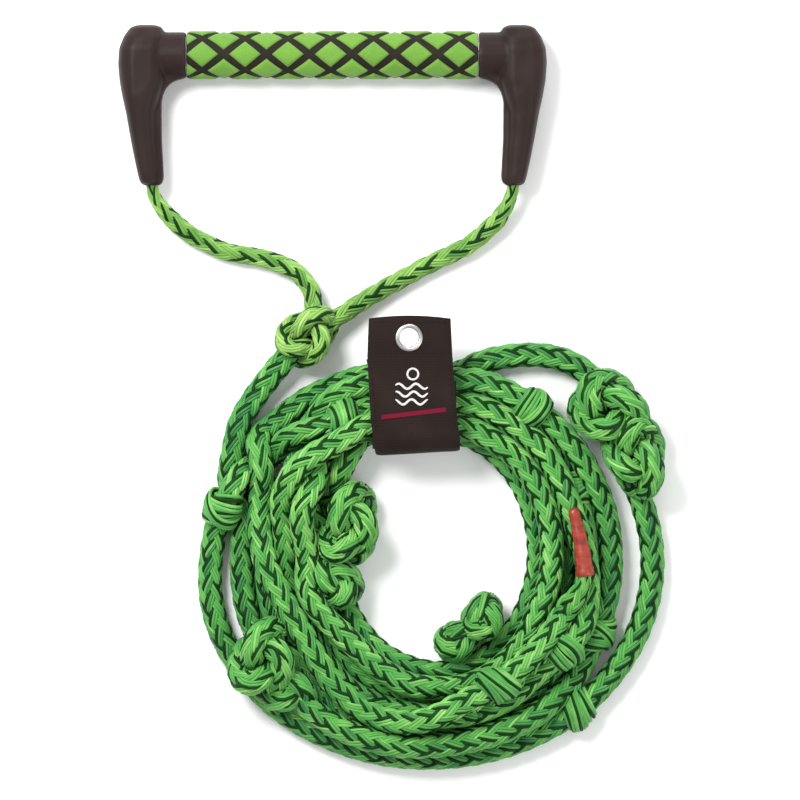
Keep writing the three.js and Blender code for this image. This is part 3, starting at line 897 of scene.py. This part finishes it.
def make_wrap(number, place, path):
    """A small tight knot: yarns wound round a strand, fuller in the middle."""
    verts, quads, first, tones, uvs, kinds = [], [], 0, [], [], []
    for k, (rings, uv) in enumerate(wrap_yarns(number, strand_near(place, path))):
        ring_quads, _ = skin_rings(rings, first, closed=True)
        count = rings.shape[0] * WRAP["sides"]
        first += count
        verts.append(rings.reshape(-1, 3))
        quads.append(ring_quads)
        tones.append(np.full(count, RANDOM.uniform(0.0, 0.26)))
        uvs.append(uv)
        kinds.append(np.full(len(ring_quads), int(k % 4 == 1)))
    wrap = mesh_object(f"wrap_knot_{number}_cord", np.concatenate(verts), [np.concatenate(quads)],
                       [GREEN_YARN, DARK_YARN], np.concatenate(kinds), np.concatenate(uvs),
                       np.concatenate(tones))
    assign(wrap, "rope", "rope_braid", f"wrap_knot_{number}")
    return wrap


def metres(path, every=3):
    kept = list(range(0, len(path) - 1, every)) + [len(path) - 1]
    return [tuple(float(c) * MM for c in path[k]) for k in kept]


def declare(cord, path, diameter, far_end, lay, pieces=()):
    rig.cord(cord, exit=tuple(float(c) * MM for c in path[0]), length=float(arc_length(path)[-1]) * MM,
            diameter=diameter * MM, far_end=far_end, stiffness="limp", lay=lay, path=metres(path),
            with_pieces=list(pieces))


def make_ropes(sleeve, keeper_pieces):
    knots = {name: make_knot(name, spec) for name, spec in KNOTS.items()}
    left, left_path = bridle_leg("bridle_leg_left_braid", LEFT_LEG, -EXIT[0])
    right, right_path = bridle_leg("bridle_leg_right_braid", RIGHT_LEG, EXIT[0])
    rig.replaces(left, "bridle_leg_left")
    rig.replaces(right, "bridle_leg_right")
    declare(left, left_path, 2 * BRIDLE_R, "knot", "loose", knots["yoke_knot"])
    declare(right, right_path, 2 * BRIDLE_R, "knot", "loose")
    path = main_rope_path()
    wraps = [make_wrap(i + 1, place, path) for i, place in enumerate(WRAP_PLACES)]
    names = [f"main_rope_part_{k + 1}" for k in range(6)]
    ends = np.linspace(0, len(path) - 1, len(names) + 1).astype(int)
    along, narrow = arc_length(path), narrowed_end(path)
    extras = [knots["joint_knot_inner_left"] + knots["joint_knot_lower_left"] + keeper_pieces, wraps[:3],
              knots["joint_knot_inner_low"] + [wraps[3]], wraps[4:6], knots["joint_knot_upper_right"],
              wraps[6:] + [sleeve]]
    for k, name in enumerate(names):
        part = slice(ends[k], ends[k + 1] + 1)
        stretch = path[part]
        rope = braided_rope(name, stretch, MAIN_BRAID, start=along[ends[k]], squeeze=narrow[part])
        assign(rope, "rope", "rope_braid")
        far_end = "fitting" if k == len(names) - 1 else "object"
        declare(rope, stretch, 2 * ROPE_R, far_end, "coiled", extras[k])
        if k == 0:
            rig.replaces(rope, "rope_coil", "lead_rope", "tail_strand")


def make_held_bridle():
    """The same bridle rope through both guards and the bar, seen only in the mouths."""
    route = [(92, BAR_Y), (99, 28.4), (105.5, 24), (109.6, 17), (111.6, 8), (112, -4), (110.6, -18),
             (108.6, -33), (EXIT[0], -46.5)]
    right = [(x, y, AXIS_Z) for x, y in route]
    left = [(-x, y, z) for x, y, z in reversed(right)]
    path = even_path(left + right, BRIDLE_BRAID["step"], 3.0)
    rope = braided_rope("bridle_in_handle_braid", path, BRIDLE_BRAID, squeeze=np.full(len(path), 0.66))
    assign(rope, "handle", "rope_braid", "bridle_in_handle")


def make_end_sleeve():
    """Shrunk red sleeve over the rope's far end, narrower towards its tip."""
    a, b = np.array([142.0, -238, 33.0]), np.array([149.5, -279, 33.0])
    path = even_path([a, (a + b) / 2 + (1.0, 0, 0), b], 1.0, 3.0)
    share = np.linspace(0, 1, len(path))
    radius = 3.1 + 2.4 * share + 0.15 * np.sin(share * 21)
    radius[:3] *= (0.55, 0.85, 0.97)
    radius[-2:] *= (0.96, 0.86)
    rings = tube_rings(path, radius, 28)
    quads, caps = skin_rings(rings)
    sleeve = mesh_object("rope_end_sleeve_shrunk", rings.reshape(-1, 3), [quads, caps], [SLEEVE])
    assign(sleeve, "rope", "sleeve_red", "rope_end_sleeve")
    return sleeve


# ---- Handle ----
def make_guard(side):
    """The CAD moulding made smooth, with its edges rounded as a mould leaves them."""
    node = frame["nodes"][f"finger_guard_{side}"]
    guard = bpy.data.objects.new(f"finger_guard_{side}_moulding", node.data.copy())
    bpy.context.scene.collection.objects.link(guard)
    guard.data.materials.clear()
    guard.data.materials.append(MOULDING)
    remesh = guard.modifiers.new("remesh", "REMESH")
    remesh.mode = "VOXEL"
    remesh.voxel_size = 0.75 * MM
    remesh.use_smooth_shade = True
    relax = guard.modifiers.new("relax", "SMOOTH")
    relax.factor = 0.5
    relax.iterations = 14
    depsgraph = bpy.context.evaluated_depsgraph_get()
    mesh = bpy.data.meshes.new_from_object(guard.evaluated_get(depsgraph))
    guard.modifiers.clear()
    guard.data = mesh
    assign(guard, "handle", "guard_moulding", f"finger_guard_{side}")


DIAMOND = dict(length=25.3, around=8, first=-76.85, line=4.3)


def wrapped(x, turn, radius):
    """Points at a distance from the bar's axis; turn 0 faces up."""
    return np.stack([x, BAR_Y + radius * np.sin(turn), AXIS_Z + radius * np.cos(turn)], -1)


def square_grid(cells):
    """Faces of a square grid of points, and its rim's points in order."""
    side = cells + 1
    faces = np.array([[i * side + j, (i + 1) * side + j, (i + 1) * side + j + 1, i * side + j + 1]
                      for i in range(cells) for j in range(cells)])
    rim = [(i, 0) for i in range(cells)] + [(cells, j) for j in range(cells)]
    rim += [(i, cells) for i in range(cells, 0, -1)] + [(0, j) for j in range(cells, 0, -1)]
    return faces, np.array([i * side + j for i, j in rim])


def make_diamonds():
    """Green foam diamonds between the grooves, each with a soft edge, as separate solids in one piece."""
    cells = 10
    half_x = DIAMOND["length"] / 2
    half_turn = 2 * math.pi / DIAMOND["around"]
    grid = np.linspace(-1, 1, cells + 1)
    u, v = np.meshgrid(grid, grid, indexing="ij")
    inset = 1 - DIAMOND["line"] / 2 / (half_x * math.sin(math.atan2(GRIP_R * half_turn, half_x)))
    edge = np.maximum(abs(u), abs(v))
    crown = np.where(edge > 0.95, 0.55, 0.0) + 0.12 * edge ** 4
    face, rim = square_grid(cells)
    verts, quads, first = [], [], 0
    for column in range(-1, 16):
        for row in range(DIAMOND["around"]):
            if (column + row) % 2:
                continue
            x = DIAMOND["first"] + column * half_x + half_x * inset * (u - v) / 2
            turn = row * half_turn + half_turn * inset * (u + v) / 2
            if x.min() > GRIP_HALF - 0.5 or x.max() < -GRIP_HALF + 0.5:
                continue
            x = x.clip(-GRIP_HALF, GRIP_HALF)
            top = wrapped(x, turn, GRIP_R - crown).reshape(-1, 3)
            base = wrapped(x, turn, np.full_like(x, GRIP_R - GRIP_SKIN)).reshape(-1, 3)
            verts += [top, base]
            count = len(top)
            after = np.roll(rim, -1)
            sides = np.stack([rim, rim + count, after + count, after], -1)
            quads += [face + first, face[:, ::-1] + count + first, sides + first]
            first += 2 * count
    skin = mesh_object("grip_green_diamonds", np.concatenate(verts), [np.concatenate(quads)], [GREEN_FOAM])
    assign(skin, "handle", "grip_green_foam", "grip_foam_skin")
    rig.padded(skin, fill=1.0)


def make_dark_layer():
    """The dark foam under the diamonds, slightly waisted between them."""
    x = np.linspace(-GRIP_HALF - 0.25, GRIP_HALF + 0.25, 180)
    turn = turns(96)
    grid_x, grid_turn = np.meshgrid(x, turn, indexing="ij")
    radius = GRIP_R - GRIP_SKIN + 0.12 * np.sin(grid_x * 0.9) * np.sin(grid_turn * 7)
    rings = wrapped(grid_x, -grid_turn, radius)
    inner = wrapped(grid_x, -grid_turn, np.full_like(radius, 11.2))[::-1]
    rings = np.concatenate([rings, inner])
    quads, _ = skin_rings(rings, closed=True)
    layer = mesh_object("grip_dark_layer", rings.reshape(-1, 3), [quads], [DARK_FOAM])
    assign(layer, "handle", "grip_dark_foam", "grip_foam_core")
    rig.padded(layer, fill=1.0)


# ---- Keeper ----
STRAP = 1.8                      # thickness of one layer
STRAP_EDGE_SIDES = 26
FLAP_Z = 43.8
TAB_BACK_Z = 41.6
TAB_END = -124.6
EYELET = dict(x=45.3, y=-137.6, hole=5.6, barrel=6.2, flange=8.15)


def arc(centre, radius, start, stop, count):
    angle = np.radians(np.linspace(start, stop, count))
    return [(centre[0] + radius * math.cos(a), centre[1] + radius * math.sin(a)) for a in angle]


def strap_grid(profile):
    """A strap's profile in the YZ plane, its normals, and half its thickness from edge to edge."""
    profile = np.array(profile)
    along = directions(profile)
    normal = np.stack([-along[:, 1], along[:, 0]], 1)
    share = np.linspace(0, 1, STRAP_EDGE_SIDES)
    edge = STRAP / 2 * np.sqrt(np.clip(1 - (2 * share - 1) ** 22, 0.06, 1))
    return profile, normal, share, edge


EDGE_AT = [-211.0, -199.0, -186.0, -148.5, -124.6]
LEFT_EDGE = [25.9, 24.5, 22.7, 20.7, 21.6]
RIGHT_EDGE = [75.3, 75.2, 73.6, 70.8, 69.8]


def keeper_edges(y):
    """Left and right edge of the strap at a distance along it: it lies a few degrees askew."""
    return np.interp(y, EDGE_AT, LEFT_EDGE), np.interp(y, EDGE_AT, RIGHT_EDGE)


def fade(value, start, stop):
    share = np.clip((value - start) / (stop - start), 0, 1)
    return share * share * (3 - 2 * share)


def strap_mesh(profile, shift=0.0):
    """Rings round a strap: it is cut with a slight peak at the tab, and its foot is turned a little."""
    profile, normal, share, edge = strap_grid(profile)
    y_flat = TAB_END - arc_length(np.column_stack([profile, np.zeros(len(profile))]))
    left, right = keeper_edges(y_flat)
    aside = shift * fade(-y_flat, 150, 175)
    x = (left + aside)[:, None] + (right - left)[:, None] * share[None, :]
    ripple = 0.22 * np.sin(x / 9 + 0.7) * np.sin(y_flat[:, None] / 13)
    ripple = ripple * fade(np.abs(y_flat + 149), 2, 10)[:, None]
    peak = -1.7 * (2 * share[None, :] - 1) ** 2 * fade(y_flat, -138, TAB_END)[:, None]
    foot = fade(-y_flat, 182, 200) * fade(profile[:, 1], 26, 34)
    turned = (2.6 * share[None, :] - 0.4) * foot[:, None]
    sides = []
    for sign in (1, -1):
        off = edge[None, :] * sign + ripple
        y = profile[:, 0:1] + normal[:, 0:1] * off + peak + turned * (shift == 0)
        sides.append(np.stack([x, y, profile[:, 1:2] + normal[:, 1:2] * off], -1))
    ring = np.concatenate([sides[0], sides[1][:, ::-1]], axis=1)
    quads, _ = skin_rings(ring)
    count = ring.shape[1]
    end = np.array([[i, i + 1, count - 2 - i, count - 1 - i] for i in range(count // 2 - 1)])
    last = end[:, ::-1] + (len(ring) - 1) * count
    return ring, quads, np.concatenate([end, last])


def eyelet_rings(profile, sides):
    """Rings about the eyelet's axis through a profile of radius and height."""
    turn = turns(sides)
    return np.array([[(EYELET["x"] + r * math.cos(a), EYELET["y"] + r * math.sin(a), z) for a in turn]
                     for r, z in profile])


def cut_eyelet_hole(strap):
    """Cuts the hole that the eyelet's barrel lines."""
    radius = (EYELET["hole"] + EYELET["barrel"]) / 2
    rings = eyelet_rings([(radius, TAB_BACK_Z - 3.6), (radius, FLAP_Z + 4.2)], 48)
    quads, caps = skin_rings(rings)
    punch = mesh_object("punch", rings.reshape(-1, 3), [quads, caps], [])
    hole = strap.modifiers.new("hole", "BOOLEAN")
    hole.operation, hole.solver, hole.object = "DIFFERENCE", "EXACT", punch
    depsgraph = bpy.context.evaluated_depsgraph_get()
    strap.data = bpy.data.meshes.new_from_object(strap.evaluated_get(depsgraph))
    strap.modifiers.clear()
    bpy.data.objects.remove(punch)


def make_keeper_front():
    drop, bend_y = 10.0, -195.8
    flat = [(y, FLAP_Z) for y in np.linspace(TAB_END, bend_y, 60)]
    profile = flat + arc((bend_y, FLAP_Z - drop), drop, 90, 180, 14)[1:]
    ring, quads, ends = strap_mesh(profile)
    front = mesh_object("keeper_front_layer", ring.reshape(-1, 3), [quads, ends], [WEBBING])
    cut_eyelet_hole(front)
    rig.blend(front, "rope", "keeper_flap", start=(0.048, -0.1455, 0.0447), end=(0.048, -0.1535, 0.0447))
    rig.replaces(front, "keeper_front_tab", "keeper_front_flap")
    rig.slot(front, "keeper_webbing")
    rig.sheet(front, flat=(0.0495, 0.087), held="laid", rests_on=["rope_coil"])


def make_keeper_back():
    clearance = 0.4 + STRAP / 2
    inner, outer, low, high = BUNDLE.values()
    corner, bend, tab_z = 12.0, 3.0, TAB_BACK_Z
    turn = corner + clearance
    profile = [(y, tab_z) for y in np.linspace(TAB_END, outer + clearance + bend, 18)]
    profile += arc((outer + clearance + bend, tab_z - bend), bend, 90, 180, 7)[1:]
    profile += arc((outer - corner, low + corner), turn, 0, -90, 14)
    profile += arc((inner + corner, low + corner), turn, -90, -180, 14)
    profile += arc((inner + corner, high - corner), turn, 180, 90, 14)
    profile += [(y, high + clearance) for y in np.linspace(inner + corner + 3, -163, 8)]
    ring, quads, ends = strap_mesh(profile, shift=-2.2)
    back = mesh_object("keeper_back_layer", ring.reshape(-1, 3), [quads, ends], [WEBBING])
    cut_eyelet_hole(back)
    assign(back, "rope", "keeper_webbing", "keeper_back_strap")
    length = arc_length(np.column_stack([np.array(profile), np.zeros(len(profile))]))[-1] * MM
    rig.sheet(back, flat=(0.0495, float(length)), held="folded", rests_on=["rope_coil"])
    return back


def stitches(name, start, stop, owner, z):
    """A row of thread stitches lying on the strap."""
    start, stop = np.array(start, float), np.array(stop, float)
    length = np.linalg.norm(stop - start)
    along = (stop - start) / length
    side = np.array([-along[1], along[0]])
    pitch, half_length, half_width = 3.1, 1.15, 0.34
    turn = turns(6)
    verts, quads, caps, first = [], [], [], 0
    for k in range(int(length / pitch)):
        middle = start + along * (k + 0.5) * pitch
        rings = []
        for share in np.linspace(-1, 1, 7):
            at = middle + along * share * half_length
            sink = -0.34 * share ** 4
            thick = half_width * math.sqrt(1.02 - share ** 4)
            rings.append([(*(at + side * thick * math.cos(t)), z + sink + thick * math.sin(t)) for t in turn])
        rings = np.array(rings)
        row_quads, row_caps = skin_rings(rings, first)
        first += rings.shape[0] * 6
        verts.append(rings.reshape(-1, 3))
        quads.append(row_quads)
        caps.append(row_caps)
    row = mesh_object(name, np.concatenate(verts), [np.concatenate(quads), np.concatenate(caps)], [THREAD])
    assign(row, owner, "keeper_webbing")


def make_stitching():
    """Edge rows down the flap, and a row across the tab on each side of the eyelet."""
    z = FLAP_Z + STRAP / 2 + 0.12
    for label, edge, inward in (("left", 0, 2.0), ("right", 1, -2.0)):
        top, foot = (keeper_edges(y)[edge] + inward for y in (-154.0, -194.0))
        stitches(f"flap_stitches_{label}", (top, -154.0), (foot, -194.0), "keeper_flap", z)
    for k, y in enumerate((-146.4, -128.2)):
        left, right = keeper_edges(y)
        stitches(f"tab_stitches_{k + 1}", (left + 2.5, y), (right - 2.5, y), "rope", z)


def ring_about_eyelet(name, profile, material, node):
    rings = eyelet_rings(profile, 72)
    quads, _ = skin_rings(rings, closed=True)
    part = mesh_object(name, rings.reshape(-1, 3), [quads[:, ::-1]], [material])
    assign(part, "rope", "grommet_metal", node)
    return part


def make_grommet():
    """Rolled eyelet: a domed flange that curls down into its barrel, and a flat washer under the tab."""
    top = FLAP_Z + STRAP / 2 + 0.1
    hole, barrel, flange = EYELET["hole"], EYELET["barrel"], EYELET["flange"]
    middle, half = (hole + flange) / 2, (flange - hole) / 2
    dome = [(middle + half * math.cos(a), top + 0.95 * math.sin(a))
            for a in np.radians(np.linspace(0, 180, 15))]
    profile = dome + [(hole, 41), (hole + 0.05, 39.6), (hole + 0.5, 39.3), (barrel, 39.6),
                      (barrel, top - 0.05)]
    eyelet = ring_about_eyelet("grommet_rolled_eyelet", profile, PLATED, "grommet_eyelet")
    low = TAB_BACK_Z - STRAP / 2 - 0.3
    inner = barrel + 0.3
    washer = [(flange, low - 0.4), (flange - 0.2, low), (inner + 0.1, low), (inner, low - 0.4),
              (inner + 0.1, low - 0.8), (flange - 0.2, low - 0.8)]
    return [eyelet, ring_about_eyelet("grommet_back_washer", washer, PLATED, "grommet_washer")]


def ribbon_on_flap(name, centre, widths, material):
    """A flat printed stroke just above the flap."""
    centre, widths = np.array(centre, float), np.array(widths, float)
    along = directions(centre)
    side = np.stack([-along[:, 1], along[:, 0]], 1) * widths[:, None] / 2
    low, high = FLAP_Z + STRAP / 2 - 0.3, FLAP_Z + STRAP / 2 + 0.32
    left, right = centre + side, centre - side
    rings = np.stack([np.column_stack([p, np.full(len(p), h)])
                      for p, h in ((left, low), (right, low), (right, high), (left, high))], 1)
    quads, caps = skin_rings(rings)
    stroke = mesh_object(name, rings.reshape(-1, 3), [quads, caps], [material], smooth=False)
    assign(stroke, "keeper_flap", "keeper_webbing")


def make_print():
    """A generic mark: a ring over three waves, above a slanted red bar."""
    turn = np.linspace(0, 2 * math.pi, 49)
    ring = np.column_stack([47.5 + 3.2 * np.cos(turn), -159.0 + 3.2 * np.sin(turn)])
    ribbon_on_flap("keeper_print_ring", ring, np.full(len(ring), 1.1), WHITE_INK)
    x = np.linspace(-9.5, 9.5, 60)
    for k in range(3):
        y = -166.2 - 4.6 * k + 1.5 * np.sin(x * 0.62 + 0.8 * k)
        width = 1.3 * np.sqrt(np.clip(1 - (x / 9.9) ** 6, 0.02, 1))
        ribbon_on_flap(f"keeper_print_wave_{k + 1}", np.column_stack([46.8 + x, y]), width, WHITE_INK)
    bar_x = np.linspace(29.0, 67.0, 12)
    bar = np.column_stack([bar_x, -182.2 + (bar_x - 48) * 0.12])
    ribbon_on_flap("keeper_print_bar", bar, np.full(12, 2.6), RED_INK)


# ---- Assembly ----
make_camera()
make_studio()
make_ropes(make_end_sleeve(), [make_keeper_back(), *make_grommet()])
make_held_bridle()
for side in ("left", "right"):
    make_guard(side)
make_diamonds()
make_dark_layer()
make_keeper_front()
make_stitching()
make_print()
for node, material in (("bar_tube", ALUMINIUM), ("keeper_loop_patch", HOOK), ("keeper_hook_patch", HOOK)):
    for slot in frame["nodes"][node].material_slots:
        slot.material = material

visual_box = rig.bounds()
with open("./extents.json", "w") as out:
    json.dump({"cad": [list(c) for c in cad_box], "visual": [list(c) for c in visual_box]}, out)
